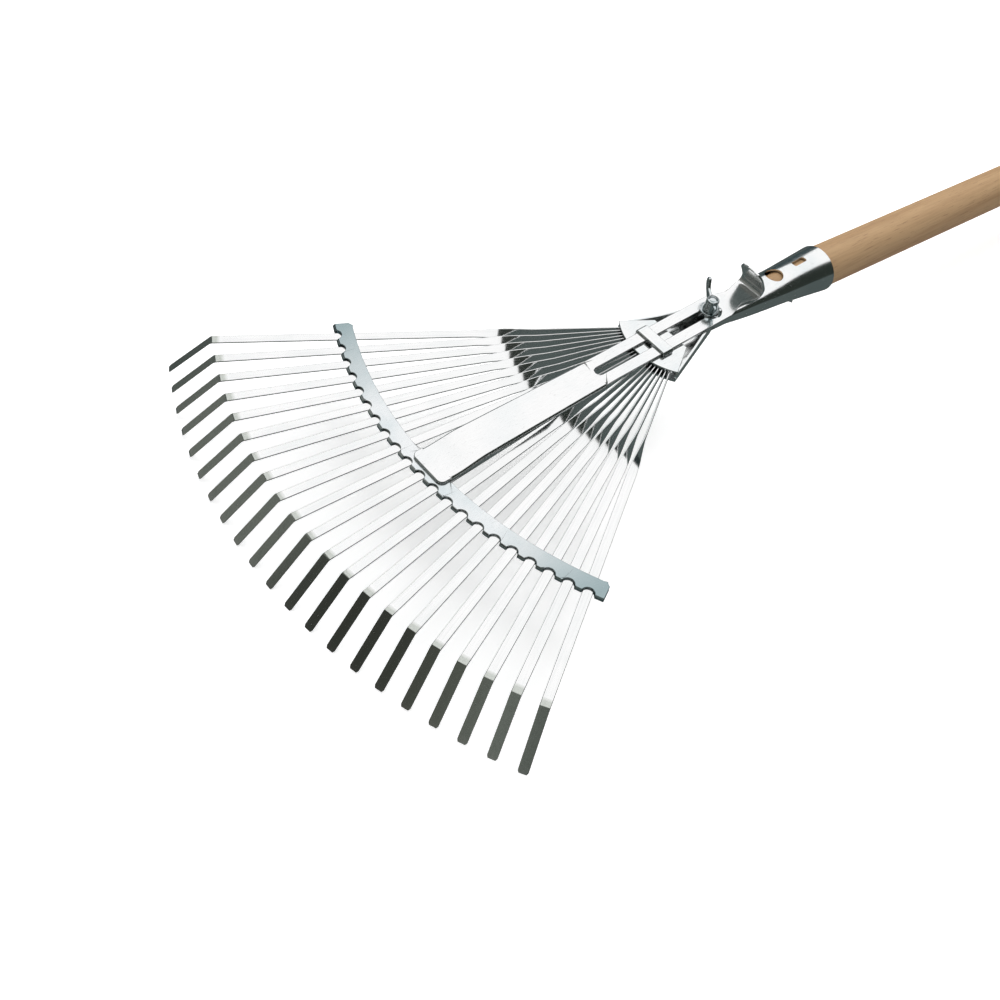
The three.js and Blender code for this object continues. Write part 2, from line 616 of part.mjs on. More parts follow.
// ---- handle ----
// A round shaft with its end tapered to fit the socket, turned about its own length.
function handleGeometry() {
  const radius = HANDLE_DIAMETER / 2;
  const taperLength = (SOCKET_MOUTH - HANDLE_TIP) / Math.cos(handleTilt);
  const tipRadius = radius - taperLength * Math.tan(handleTilt);
  const profile = [
    [0, 0],
    [tipRadius - 1, 0],
    [tipRadius, 1],
    [radius, taperLength + 1],
    [radius, HANDLE_LENGTH - HANDLE_END_ROUND],
  ];
  const roundSteps = 5;
  for (let step = 1; step <= roundSteps; step += 1) {
    const angle = (Math.PI / 2) * (step / roundSteps);
    const inward = HANDLE_END_ROUND * (1 - Math.cos(angle));
    profile.push([radius - inward, HANDLE_LENGTH - HANDLE_END_ROUND * (1 - Math.sin(angle))]);
  }
  profile.push([0, HANDLE_LENGTH]);
  const shaft = new THREE.LatheGeometry(profile.map(([r, along]) => new THREE.Vector2(r, along)), 32);
  const { height } = socketSection(HANDLE_TIP);
  shaft.rotateZ(-Math.PI / 2).rotateY(handleTilt);
  return shaft.translate(HANDLE_TIP, 0, socketTop - height);
}

// ---- assembly ----
// The head is pitched so that the middle tooth and the handle's end reach the ground together.
function restPitch() {
  const toothX = -TINE_REACH - TOOTH_LENGTH * Math.cos(radians(TOOTH_ANGLE));
  const toothZ = -TOOTH_LENGTH * Math.sin(radians(TOOTH_ANGLE)) - TINE_THICKNESS / 2;
  const { height } = socketSection(HANDLE_TIP);
  const shaft = HANDLE_LENGTH - HANDLE_END_ROUND;
  const endX = HANDLE_TIP + shaft * Math.cos(handleTilt) - (HANDLE_DIAMETER / 2) * Math.sin(handleTilt);
  const drop = shaft * Math.sin(handleTilt) + (HANDLE_DIAMETER / 2) * Math.cos(handleTilt);
  const endZ = socketTop - height - drop;
  return Math.atan((toothZ - endZ) / (endX - toothX));
}

const head = new THREE.Group();
head.rotation.y = -restPitch();

head.add(named('handle', handleGeometry(), wood));
head.add(named('socket_base', baseSolid(), zinc));
head.add(named('cover_plate', coverSolid(), zinc));
head.add(named('strap_keeper', keeperSolid(), zinc));
head.add(named('adjusting_strap', strapSolid(), zinc));
head.add(named('crossbar', crossbarSolid(), darkZinc));
head.add(named('clamp_bolt', boltGeometry(), boltSteel));
head.add(named('clamp_washer', washerGeometry(), boltSteel));
head.add(named('wing_nut', wingNutSolid(), boltSteel));

tines.forEach((tine, index) => {
  const name = `tine_${String(index + 1).padStart(2, '0')}`;
  const mesh = named(name, tineGeometry(tine.length), tineSteel);
  mesh.position.set(tine.pivotX, tine.pivotY, 0);
  mesh.rotation.z = -tine.angle;
  mesh.userData.turnPerMillimetre = -tine.turn;
  head.add(mesh);
});

// The origin is the middle of the rake's footprint, on the ground.
const rake = new THREE.Group();
rake.add(head);
rake.updateMatrixWorld(true);
const reach = new THREE.Box3().setFromObject(rake, true);
rake.position.set(-(reach.min.x + reach.max.x) / 2, 0, -reach.min.z);

export default rake;
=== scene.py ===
import json
import math

import bmesh
import bpy
from mathutils import Matrix, Vector

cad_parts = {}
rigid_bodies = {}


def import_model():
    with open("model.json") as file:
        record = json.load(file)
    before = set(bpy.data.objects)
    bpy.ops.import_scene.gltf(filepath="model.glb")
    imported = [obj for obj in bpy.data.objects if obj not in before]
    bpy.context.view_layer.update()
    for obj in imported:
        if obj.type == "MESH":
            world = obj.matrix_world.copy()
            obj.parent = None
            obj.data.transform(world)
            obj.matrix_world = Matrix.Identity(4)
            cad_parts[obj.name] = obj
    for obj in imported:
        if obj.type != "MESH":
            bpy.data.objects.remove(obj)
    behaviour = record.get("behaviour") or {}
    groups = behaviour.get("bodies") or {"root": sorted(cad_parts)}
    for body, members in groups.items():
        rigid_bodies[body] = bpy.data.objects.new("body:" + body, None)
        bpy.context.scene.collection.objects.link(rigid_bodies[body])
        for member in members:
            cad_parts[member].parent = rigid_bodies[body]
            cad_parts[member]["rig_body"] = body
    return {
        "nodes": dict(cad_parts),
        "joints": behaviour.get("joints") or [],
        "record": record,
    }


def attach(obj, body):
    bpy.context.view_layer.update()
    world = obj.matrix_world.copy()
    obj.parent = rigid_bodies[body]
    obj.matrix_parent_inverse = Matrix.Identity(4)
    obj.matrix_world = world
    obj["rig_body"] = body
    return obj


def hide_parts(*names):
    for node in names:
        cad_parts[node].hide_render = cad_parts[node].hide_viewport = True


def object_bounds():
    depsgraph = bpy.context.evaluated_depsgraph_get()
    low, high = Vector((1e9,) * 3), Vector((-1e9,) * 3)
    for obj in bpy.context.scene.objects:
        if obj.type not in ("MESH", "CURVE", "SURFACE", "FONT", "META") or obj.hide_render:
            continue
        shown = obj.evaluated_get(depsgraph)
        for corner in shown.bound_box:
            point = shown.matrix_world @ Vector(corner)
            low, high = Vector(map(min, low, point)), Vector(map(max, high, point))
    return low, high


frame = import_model()
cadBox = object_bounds()
print("frame loaded:", len(frame["nodes"]), "nodes")

scene = bpy.context.scene
mm = 0.001
joints = {joint["name"]: joint for joint in frame["joints"]}
slotOf = {part["node"]: part["material_slot"] for part in frame["record"]["subparts"]}

# The head has axes of its own, in millimetres: x along the strap towards the handle, y across the
# fan, z up from the middle of the tines, from the crossbar's middle notch.
boltX = 240.6            # from the middle notch back to the clamp bolt
headAlong = Vector(joints["strap_slide"]["axis"]).normalized()
headUp = Vector(joints["wing_nut_turn"]["axis"]).normalized()
headAcross = headUp.cross(headAlong)
headOrigin = Vector(joints["wing_nut_turn"]["pos_m"]) - headAlong * boltX * mm
headToFrame = Matrix.Translation(headOrigin) @ Matrix((headAlong, headAcross, headUp)).transposed().to_4x4()
headToFrame = headToFrame @ Matrix.Scale(mm, 4)


# Materials. A short way to add a node: its inputs by name or number, then its settings.
def addNode(tree, kind, inputs=None, **settings):
    node = tree.nodes.new(kind)
    for key, value in settings.items():
        setattr(node, key, value)
    for key, value in (inputs or {}).items():
        if isinstance(value, bpy.types.NodeSocket):
            tree.links.new(value, node.inputs[key])
        else:
            node.inputs[key].default_value = value
    return node


def ramp(tree, source, *stops):
    node = addNode(tree, "ShaderNodeValToRGB", {"Fac": source})
    elements = node.color_ramp.elements
    while len(elements) < len(stops):
        elements.new(0.5)
    for element, (position, color) in zip(elements, stops):
        element.position = position
        element.color = (*color, 1) if isinstance(color, tuple) else (color, color, color, 1)
    return node.outputs["Color"]


def mixColor(tree, amount, first, second, blend="MIX"):
    node = addNode(tree, "ShaderNodeMix", data_type="RGBA", blend_type=blend)
    for socket, value in ((node.inputs[0], amount), (node.inputs[6], first), (node.inputs[7], second)):
        if isinstance(value, bpy.types.NodeSocket):
            tree.links.new(value, socket)
        elif isinstance(value, tuple):
            socket.default_value = (*value, 1)
        else:
            socket.default_value = value
    return node.outputs[2]


def noise(tree, coordinates, scale, detail=3.0, roughness=0.55, distortion=0.0):
    node = addNode(tree, "ShaderNodeTexNoise", {
        "Vector": coordinates, "Scale": scale, "Detail": detail,
        "Roughness": roughness, "Distortion": distortion,
    })
    return node.outputs["Fac"]


def stretch(tree, coordinates, scale):
    return addNode(tree, "ShaderNodeMapping", {"Vector": coordinates, "Scale": scale}).outputs[0]


def toRange(tree, source, low, high, fromLow=0.3, fromHigh=0.7):
    return addNode(tree, "ShaderNodeMapRange", {
        "Value": source, "From Min": fromLow, "From Max": fromHigh, "To Min": low, "To Max": high,
    }).outputs[0]


def newMaterial(name):
    material = bpy.data.materials.new(name)
    material.use_nodes = True
    tree = material.node_tree
    tree.nodes.clear()
    shader = addNode(tree, "ShaderNodeBsdfPrincipled")
    addNode(tree, "ShaderNodeOutputMaterial", {"Surface": shader.outputs["BSDF"]})
    return material, tree, shader


# Bright zinc plate: cloudy passivation, fine rolling lines, a few scuffs and dull spots; on the crossbar,
# painted shade towards its ends.
zincFinishes = {
    "holder_zinc": {"bright": (0.96, 0.97, 0.97), "dull": (0.86, 0.90, 0.91), "gloss": 0.15, "clouds": 32},
    "strap_zinc": {"bright": (0.98, 0.98, 0.98), "dull": (0.92, 0.94, 0.945), "gloss": 0.15, "clouds": 26},
    "crossbar_zinc": {
        "bright": (0.90, 0.92, 0.93), "dull": (0.76, 0.82, 0.84), "gloss": 0.19, "clouds": 30,
        # The crossbar's end colour is painted shade: teal-grey laid into the zinc towards the bar's ends,
        # standing in for their darker reflection.
        "paintedEndShade": (0.30, 0.40, 0.42), "paintedShadeStart": 0.055, "paintedShadeEnd": 0.122,     # metres from the middle
    },
    "fastener_zinc": {"bright": (0.80, 0.83, 0.84), "dull": (0.60, 0.68, 0.70), "gloss": 0.2, "clouds": 90},
}


def zincMaterial(name, finish):
    material, tree, shader = newMaterial(name)
    place = addNode(tree, "ShaderNodeTexCoord").outputs["Object"]
    clouds = noise(tree, place, finish["clouds"], 4.0)
    lines = noise(tree, stretch(tree, place, (45, 2400, 2400)), 1.0, 3.0)
    scuffs = noise(tree, stretch(tree, place, (260, 900, 900)), 1.0, 6.0, 0.7, 0.8)
    spots = noise(tree, place, 420, 2.0, 0.5)
    tone = ramp(tree, clouds, (0.34, finish["dull"]), (0.58, finish["bright"]))
    tone = mixColor(tree, 0.5, tone, ramp(tree, lines, (0.3, 0.9), (0.55, 1.0)), "MULTIPLY")
    tone = mixColor(tree, 0.55, tone, ramp(tree, scuffs, (0.3, 0.62), (0.38, 1.0)), "MULTIPLY")
    # Painted shade: the crossbar's colour darkens to teal-grey with distance from its middle, in place of a
    # darker reflection.
    if "paintedEndShade" in finish:
        across = addNode(tree, "ShaderNodeSeparateXYZ", {0: place}).outputs[1]
        across = addNode(tree, "ShaderNodeMath", {0: across}, operation="ABSOLUTE").outputs[0]
        across = toRange(tree, across, 0.0, 0.9, finish["paintedShadeStart"], finish["paintedShadeEnd"])
        tone = mixColor(tree, across, tone, finish["paintedEndShade"])
    tree.links.new(tone, shader.inputs["Base Color"])
    shader.inputs["Metallic"].default_value = 1.0
    gloss = finish["gloss"]
    rough = toRange(tree, lines, gloss - 0.04, gloss + 0.05)
    worn = toRange(tree, scuffs, 0.14, 0.0, 0.3, 0.4)
    roughness = addNode(tree, "ShaderNodeMath", {0: rough, 1: worn}, operation="ADD").outputs[0]
    tree.links.new(roughness, shader.inputs["Roughness"])
    relief = mixColor(tree, 0.3, lines, spots)
    bump = addNode(tree, "ShaderNodeBump", {"Height": relief, "Strength": 0.12, "Distance": 0.00006})
    tree.links.new(bump.outputs[0], shader.inputs["Normal"])
    return material


# Plated spring strip. Each tine's map runs along it: u from the pivot to the tip, v around it.
springFinish = {
    "bright": (0.98, 0.98, 0.98),
    "dull": (0.93, 0.94, 0.94),
    # The tooth's colour is partly painted shade, darker from the bend on in place of the bent-down tooth's
    # darker reflection, and partly ground stain.
    "tooth": (0.66, 0.69, 0.65),     # plating worn and stained by the ground
    "toothStart": 0.866,             # share of the tine's length where the tooth begins
    "gloss": 0.15,
}


def springMaterial(name, finish):
    material, tree, shader = newMaterial(name)
    run = addNode(tree, "ShaderNodeUVMap", uv_map="run").outputs[0]
    place = addNode(tree, "ShaderNodeTexCoord").outputs["Object"]
    clouds = noise(tree, place, 30, 3.0)
    lines = noise(tree, stretch(tree, run, (8, 60, 1)), 1.0, 4.0, 0.6)
    scuffs = noise(tree, place, 700, 4.0, 0.7, 1.2)
    tone = ramp(tree, clouds, (0.36, finish["dull"]), (0.6, finish["bright"]))
    tone = mixColor(tree, 0.45, tone, ramp(tree, lines, (0.3, 0.9), (0.55, 1.0)), "MULTIPLY")
    along = addNode(tree, "ShaderNodeSeparateXYZ", {0: run}).outputs[0]
    start = finish["toothStart"]
    isTooth = toRange(tree, along, 0.0, 1.0, start - 0.004, start + 0.004)
    # Painted shade and stain: the tooth is darkened from the bend on, with scuff-noise stains over it.
    toothShadeAndStain = ramp(tree, scuffs, (0.3, tuple(0.84 * c for c in finish["tooth"])), (0.7, finish["tooth"]))
    tone = mixColor(tree, isTooth, tone, toothShadeAndStain)
    wornTip = toRange(tree, along, 0.0, 0.6, 0.985, 1.0)
    tone = mixColor(tree, wornTip, tone, (0.72, 0.72, 0.70))
    tree.links.new(tone, shader.inputs["Base Color"])
    shader.inputs["Metallic"].default_value = 1.0
    gloss = finish["gloss"]
    rough = toRange(tree, lines, gloss - 0.04, gloss + 0.05)
    dirt = toRange(tree, scuffs, 0.1, 0.0, 0.3, 0.5)
    dirt = addNode(tree, "ShaderNodeMath", {0: dirt, 1: isTooth}, operation="MULTIPLY").outputs[0]
    roughness = addNode(tree, "ShaderNodeMath", {0: rough, 1: dirt}, operation="ADD").outputs[0]
    tree.links.new(roughness, shader.inputs["Roughness"])
    bump = addNode(tree, "ShaderNodeBump", {"Height": lines, "Strength": 0.1, "Distance": 0.00005})
    tree.links.new(bump.outputs[0], shader.inputs["Normal"])
    return material


# Plain sanded hardwood: soft bands, short dark pores and streaks along the handle.
woodFinish = {
    "pale": (0.52, 0.335, 0.175),
    "deep": (0.41, 0.245, 0.12),
    "pore": (0.27, 0.15, 0.075),
}


def woodMaterial(name, finish):
    material, tree, shader = newMaterial(name)
    place = addNode(tree, "ShaderNodeTexCoord").outputs["Object"]
    bands = noise(tree, stretch(tree, place, (2.5, 90, 90)), 1.0, 4.0, 0.6, 0.4)
    fibres = noise(tree, stretch(tree, place, (18, 900, 900)), 1.0, 5.0, 0.65)
    pores = noise(tree, stretch(tree, place, (55, 1500, 1500)), 1.0, 2.0, 0.5)
    tone = ramp(tree, bands, (0.32, finish["deep"]), (0.6, finish["pale"]))
    tone = mixColor(tree, 0.5, tone, ramp(tree, fibres, (0.3, 0.72), (0.6, 1.0)), "MULTIPLY")
    tone = mixColor(tree, ramp(tree, pores, (0.3, 0.75), (0.37, 0.0)), tone, finish["pore"])
    tree.links.new(tone, shader.inputs["Base Color"])
    tree.links.new(toRange(tree, fibres, 0.62, 0.5), shader.inputs["Roughness"])
    relief = mixColor(tree, 0.5, fibres, pores)
    bump = addNode(tree, "ShaderNodeBump", {"Height": relief, "Strength": 0.3, "Distance": 0.00015})
    tree.links.new(bump.outputs[0], shader.inputs["Normal"])
    return material


materials = {slot: zincMaterial(slot, finish) for slot, finish in zincFinishes.items()}
materials["tine_steel"] = springMaterial("tine_steel", springFinish)
materials["handle_wood"] = woodMaterial("handle_wood", woodFinish)
print("materials made:", ", ".join(sorted(materials)))


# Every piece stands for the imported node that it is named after, and moves with that node's body.
def newPiece(node, mesh, sharpAngle=35):
    for polygon in mesh.polygons:
        polygon.use_smooth = True
    mesh.set_sharp_from_angle(angle=math.radians(sharpAngle))
    mesh.materials.clear()
    mesh.materials.append(materials[slotOf[node]])
    piece = bpy.data.objects.new(node + "_finished", mesh)
    scene.collection.objects.link(piece)
    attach(piece, frame["nodes"][node]["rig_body"])
    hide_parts(node)
    even = piece.modifiers.new("even shading", "WEIGHTED_NORMAL")
    even.keep_sharp = True
    return piece


def meshFrom(name, points, faces):
    mesh = bpy.data.meshes.new(name)
    mesh.from_pydata([tuple(point) for point in points], [], faces)
    return mesh


def cleaned(mesh, distance=0.001, normals=True):
    shape = bmesh.new()
    shape.from_mesh(mesh)
    bmesh.ops.remove_doubles(shape, verts=shape.verts, dist=distance)
    bmesh.ops.dissolve_degenerate(shape, edges=shape.edges, dist=distance)
    if normals:
        bmesh.ops.recalc_face_normals(shape, faces=shape.faces)
    shape.to_mesh(mesh)
    shape.free()
    return mesh


def applied(mesh, *steps):
    # Runs modifiers on a bare mesh and gives the result back as a mesh.
    carrier = bpy.data.objects.new("carrier", mesh)
    scene.collection.objects.link(carrier)
    for kind, settings in steps:
        modifier = carrier.modifiers.new(kind, kind)
        for key, value in settings.items():
            setattr(modifier, key, value)
    graph = bpy.context.evaluated_depsgraph_get()
    result = bpy.data.meshes.new_from_object(carrier.evaluated_get(graph))
    bpy.data.objects.remove(carrier)
    return result


def bevelStep(width, segments=2, angle=35, clamp=True):
    return ("BEVEL", {
        "width": width, "segments": segments, "limit_method": "ANGLE",
        "angle_limit": math.radians(angle), "use_clamp_overlap": clamp,
    })


def sheetStep(thickness):
    return ("SOLIDIFY", {"thickness": thickness, "offset": 0.0, "use_even_offset": True})


def fromNode(node, bevel, sharpAngle=35, clamp=True):
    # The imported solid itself, welded, its flat faces made whole and its edges rounded.
    shape = bmesh.new()
    shape.from_mesh(frame["nodes"][node].data)
    bmesh.ops.remove_doubles(shape, verts=shape.verts, dist=0.002 * mm)
    flat = math.radians(0.6)
    bmesh.ops.dissolve_limit(shape, angle_limit=flat, verts=shape.verts, edges=shape.edges)
    mesh = bpy.data.meshes.new(node)
    shape.to_mesh(mesh)
    shape.free()
    if bevel:
        mesh = applied(mesh, bevelStep(bevel * mm, 3, sharpAngle, clamp))
    return newPiece(node, mesh, sharpAngle)


def smooth(low, high, value):
    share = min(max((value - low) / (high - low), 0), 1)
    return share * share * (3 - 2 * share)


def mix(low, high, share):
    return low + (high - low) * share


# Tines: flat spring strips, each on edge at its root, twisted flat and bent down to a tooth.
tineShape = {
    "count": 21,
    "width": 6.0,
    "thickness": 1.0,
    "corner": 0.4,
    "reach": 76.0,           # crossbar to tooth bend
    "toothLength": 36.2,
    "toothAngle": 43.0,
    "bendRadius": 3.0,
    "twistStart": 86.0,      # behind the crossbar
    "twistLength": 40.0,
    "tail": 2.5,
    "lug": (1.8, 1.0, -5.1),
    "fanFocus": 220.0,
    "pivotRadii": (38.0, 32.0),
    "crossbarRadius": 283.0,
    "pitch": 2.483,
    "travel": 34.0,
}


def tineLayout(index):
    shape = tineShape
    step = index - (shape["count"] - 1) / 2
    angle = math.radians(shape["pitch"]) * step
    notch = Vector((1 - math.cos(angle), math.sin(angle))) * shape["crossbarRadius"]
    aim = math.atan2(notch.y, shape["fanFocus"] - notch.x)
    radius = shape["pivotRadii"][int(abs(step)) % 2]
    pivot = Vector((shape["fanFocus"] - radius * math.cos(aim), radius * math.sin(aim)))

    def heading(slide):
        return math.atan2(notch.y - pivot.y, pivot.x - notch.x - slide)

    middle = (heading(0) + heading(shape["travel"])) / 2
    sag = middle - heading(shape["travel"] / 2)
    return pivot, heading(0) - sag / 2, (notch - pivot).length


def stripSection(shape):
    # A rounded rectangle around the strip's middle, with three points to a corner.
    points = []
    corner = shape["corner"]
    for signY, signZ, first in ((1, 1, 0), (-1, 1, 90), (-1, -1, 180), (1, -1, 270)):
        centreY = signY * (shape["width"] / 2 - corner)
        centreZ = signZ * (shape["thickness"] / 2 - corner)
        for turn in (0, 45, 90):
            angle = math.radians(first + turn)
            points.append((centreY + corner * math.cos(angle), centreZ + corner * math.sin(angle)))
    return points


def tineStations(length, shape):
    bend = math.radians(shape["toothAngle"])
    bendLength = shape["bendRadius"] * bend
    flatStart = length - shape["twistStart"] - shape["twistLength"]
    bendStart = length + shape["reach"] - bendLength / 2
    tip = bendStart + bendLength / 2 + shape["toothLength"]
    stations = [-shape["tail"], -shape["tail"] + 0.3, flatStart * 0.5]
    stations += [flatStart + shape["twistLength"] * step / 28 for step in range(29)]
    stations += [mix(flatStart + shape["twistLength"], bendStart, share) for share in (0.25, 0.5, 0.75)]
    stations += [bendStart + bendLength * step / 10 for step in range(11)]
    stations += [mix(bendStart + bendLength, tip, share) for share in (0.3, 0.6, 0.9)]
    stations += [tip - 1.2, tip - 0.7, tip - 0.35, tip - 0.12, tip]
    return stations, flatStart, bendStart, bendLength, tip


def buildTine(node, index):
    shape = tineShape
    pivot, heading, length = tineLayout(index)
    stations, flatStart, bendStart, bendLength, tip = tineStations(length, shape)
    section = stripSection(shape)
    bend = math.radians(shape["toothAngle"])
    radius = shape["bendRadius"]
    points = []
    for run in stations:
        narrowing = 1.2 * smooth(1.2, 0, tip - run) / shape["width"]
        turned = min(max((run - flatStart) / shape["twistLength"], 0), 1)
        turned = mix(turned, smooth(0, 1, turned), 0.5)
        twist = math.pi / 2 * (1 - turned)
        bent = min(max((run - bendStart) / radius, 0), bend)
        straight = min(run, bendStart)
        beyond = max(run - bendStart - bendLength, 0)
        for across, up in section:
            across *= 1 - narrowing
            y = across * math.cos(twist) - up * math.sin(twist)
            z = across * math.sin(twist) + up * math.cos(twist)
            x = straight + radius * math.sin(bent) + beyond * math.cos(bent) - z * math.sin(bent)
            drop = radius * (1 - math.cos(bent)) + beyond * math.sin(bent) - z * math.cos(bent)
            points.append(Vector((-x, y, -drop)))
    around = len(section)
    faces = []
    for ring in range(len(stations) - 1):
        for corner in range(around):
            first = ring * around + corner
            second = ring * around + (corner + 1) % around
            faces.append((first, second, second + around, first + around))
    faces.append(tuple(range(around - 1, -1, -1)))
    faces.append(tuple(range(len(points) - around, len(points))))
    # The root lug that the tine turns on, through the base plate.
    long, wide, bottom = shape["lug"]
    lugTop = -shape["width"] / 2 + 0.2
    for z in (bottom, lugTop):
        for x, y in ((-1, -1), (1, -1), (1, 1), (-1, 1)):
            points.append(Vector((x * long / 2, y * wide / 2, z)))
    base = len(points) - 8
    faces.append((base + 3, base + 2, base + 1, base))
    faces += [(base + k, base + (k + 1) % 4, base + 4 + (k + 1) % 4, base + 4 + k) for k in range(4)]
    faces.append((base + 4, base + 5, base + 6, base + 7))
    mesh = meshFrom(node, points, faces)
    span = tip + shape["tail"]
    layer = mesh.uv_layers.new(name="run")
    for loop in mesh.loops:
        vertex = loop.vertex_index
        ring, corner = divmod(vertex, around)
        share = (stations[ring] + shape["tail"]) / span if ring < len(stations) else 0
        layer.data[loop.index].uv = (share, corner / around + index * 0.37)
    outward = bmesh.new()
    outward.from_mesh(mesh)
    bmesh.ops.recalc_face_normals(outward, faces=outward.faces)
    outward.to_mesh(mesh)
    outward.free()
    place = Matrix.Translation((pivot.x, pivot.y, 0)) @ Matrix.Rotation(-heading, 4, "Z")
    mesh.transform(headToFrame @ place)
    return newPiece(node, mesh, 50)


for index in range(tineShape["count"]):
    buildTine(f"tine_{index + 1:02d}", index)
print("tines:", tineShape["count"])


# Crossbar: a sheet folded to a U around an arc, notched for the tines through its fold.
crossbarShape = {
    "radius": 283.0,
    "depth": 12.0,
    "outer": 1.9,            # half its height, and the radius of its fold
    "sheet": 1.0,
    "margin": 1.9,           # degrees of bar beyond the outer notches
    "corner": 3.0,
    "notch": 3.9,
    "steps": 126,
}


def buildCrossbar():
    shape = crossbarShape
    halfAngle = math.radians(tineShape["pitch"] * (tineShape["count"] - 1) / 2 + shape["margin"])
    inner = shape["outer"] - shape["sheet"]
    outer = shape["outer"]

    def fold(radius, step):
        angle = math.pi * (step / 10 - 0.5)
        return (-outer + radius * math.cos(angle), radius * math.sin(angle))

    profile = [(-shape["depth"], -outer)] + [fold(outer, step) for step in range(11)]
    profile += [(-shape["depth"], outer), (-shape["depth"], inner)]
    profile += [fold(inner, 10 - step) for step in range(11)] + [(-shape["depth"], -inner)]
    points = []
    for step in range(shape["steps"] + 1):
        angle = halfAngle * (2 * step / shape["steps"] - 1)
        for across, up in profile:
            radius = shape["radius"] + across
            points.append((shape["radius"] - radius * math.cos(angle), radius * math.sin(angle), up))
    around = len(profile)
    faces = []
    for ring in range(shape["steps"]):
        for corner in range(around):
            first = ring * around + corner
            second = ring * around + (corner + 1) % around
            faces.append((first, second, second + around, first + around))
    faces.append(tuple(range(around - 1, -1, -1)))
    faces.append(tuple(range(len(points) - around, len(points))))
    bar = cleaned(meshFrom("crossbar", points, faces))
    cutter = bmesh.new()
    for index in range(tineShape["count"]):
        angle = math.radians(tineShape["pitch"]) * (index - (tineShape["count"] - 1) / 2)
        x = shape["radius"] * (1 - math.cos(angle))
        y = shape["radius"] * math.sin(angle)
        bmesh.ops.create_cone(cutter, cap_ends=True, segments=36, radius1=shape["notch"],
                              radius2=shape["notch"], depth=10, matrix=Matrix.Translation((x, y, 0)))
    for side in (1, -1):
        radius = shape["radius"] - shape["depth"]
        x = shape["radius"] - radius * math.cos(halfAngle)
        place = Matrix.Translation((x, side * radius * math.sin(halfAngle), 0))
        turn = Matrix.Rotation(math.pi / 4 - side * halfAngle, 4, "Z")
        size = Matrix.Diagonal((shape["corner"], shape["corner"], 10, 1))
        bmesh.ops.create_cube(cutter, size=1, matrix=place @ turn @ size)
    tools = bpy.data.meshes.new("notches")
    cutter.to_mesh(tools)
    cutter.free()
    knife = bpy.data.objects.new("notches", tools)
    scene.collection.objects.link(knife)
    mesh = applied(bar, ("BOOLEAN", {"operation": "DIFFERENCE", "object": knife, "solver": "EXACT"}))
    bpy.data.objects.remove(knife)
    mesh = applied(cleaned(mesh, 0.01), bevelStep(0.34, 3, 40, False))
    mesh.transform(headToFrame)
    return newPiece("crossbar", mesh, 40)


buildCrossbar()
print("crossbar folded and notched")


# Strap: one sheet from the crossbar to the thumb tab, its sides turned down, slotted for the bolt.
strapShape = {
    "sheet": 1.6,
    "front": 5.5,
    "frontLevel": 3.0,       # middle of the sheet on the crossbar
    "level": 5.4,            # middle of the sheet over the holder
    "joggle": (16.0, 40.0),
    "halfWidths": ((0, 13.9), (22, 13.9), (150, 11.3), (251, 11.5)),
    "neck": {"start": 251.0, "narrow": 264.0, "end": 276.0, "half": 7.6, "tabHalf": 10.0},
    "frontCorner": 4.0,
    "tab": {"bendRadius": 5.0, "lean": 28.0, "length": 15.0, "corner": 7.0},
    "slot": (138.3, 243.9, 3.3),
    "flange": {
        "start": 13.2, "end": 140.0, "step": 76.0, "deep": 0.95, "shallow": 3.4, "bend": 1.1,
        "startRamp": 0.8, "endRamp": 3.6, "lift": 0.06,
    },
}


def strapHalfWidth(x, fromFront, fromEnd):
    shape = strapShape
    neck = shape["neck"]
    widths = shape["halfWidths"]
    half = widths[-1][1]
    for (firstX, firstHalf), (secondX, secondHalf) in zip(widths, widths[1:]):
        if x <= secondX:
            half = mix(firstHalf, secondHalf, (x - firstX) / (secondX - firstX))
            break
    if x > neck["start"]:
        half = mix(half, neck["half"], smooth(neck["start"] - 3, neck["narrow"], x))
        half = mix(half, neck["tabHalf"], smooth(neck["narrow"], neck["end"], x))
    for corner, distance in ((shape["frontCorner"], fromFront), (shape["tab"]["corner"], fromEnd)):
        if distance < corner:
            half += math.sqrt(max(corner ** 2 - (corner - distance) ** 2, 0)) - corner
    return half


def strapStations():
    shape = strapShape
    slotStart, slotEnd, slotHalf = shape["slot"]
    tab = shape["tab"]
    level, frontLevel = shape["level"], shape["frontLevel"]
    flange = shape["flange"]
    marks = [shape["front"] + d for d in (0, 0.6, 1.2, 2.0, 2.9, 4)]
    marks += [12, flange["start"], flange["start"] + flange["startRamp"], 15.0]
    marks += [mix(*shape["joggle"], step / 12) for step in range(13)]
    marks += [52, 64, 76, 84, 92, 100, 112, 124, 131]
    marks += [136.4, 137.2, 138.1, 139.0, flange["end"], 141.5]
    for share in (0, 0.18, 0.45, 1):
        marks += [slotStart + slotHalf * share, slotEnd - slotHalf * share]
    marks += [150, 165, 180, 195, 210, 225, 246, 248.5]
    marks += [mix(250, shape["neck"]["end"], step / 16) for step in range(17)]
    rows = []
    for x in sorted(set(round(mark, 3) for mark in marks)):
        z = mix(frontLevel, level, smooth(*shape["joggle"], x))
        rows.append((x, z, 0.0, x))
    turn = math.radians(90 + tab["lean"])
    for step in range(1, 15):
        angle = turn * step / 14
        x = shape["neck"]["end"] + tab["bendRadius"] * math.sin(angle)
        z = level + tab["bendRadius"] * (1 - math.cos(angle))
        rows.append((x, z, angle, shape["neck"]["end"] + tab["bendRadius"] * angle))
    lastX, lastZ, _, lastRun = rows[-1]
    for share in (0.2, 0.4, 0.55, 0.68, 0.8, 0.9, 0.96, 1.0):
        reach = tab["length"] * share
        rows.append((lastX + reach * math.cos(turn), lastZ + reach * math.sin(turn), turn, lastRun + reach))
    return rows


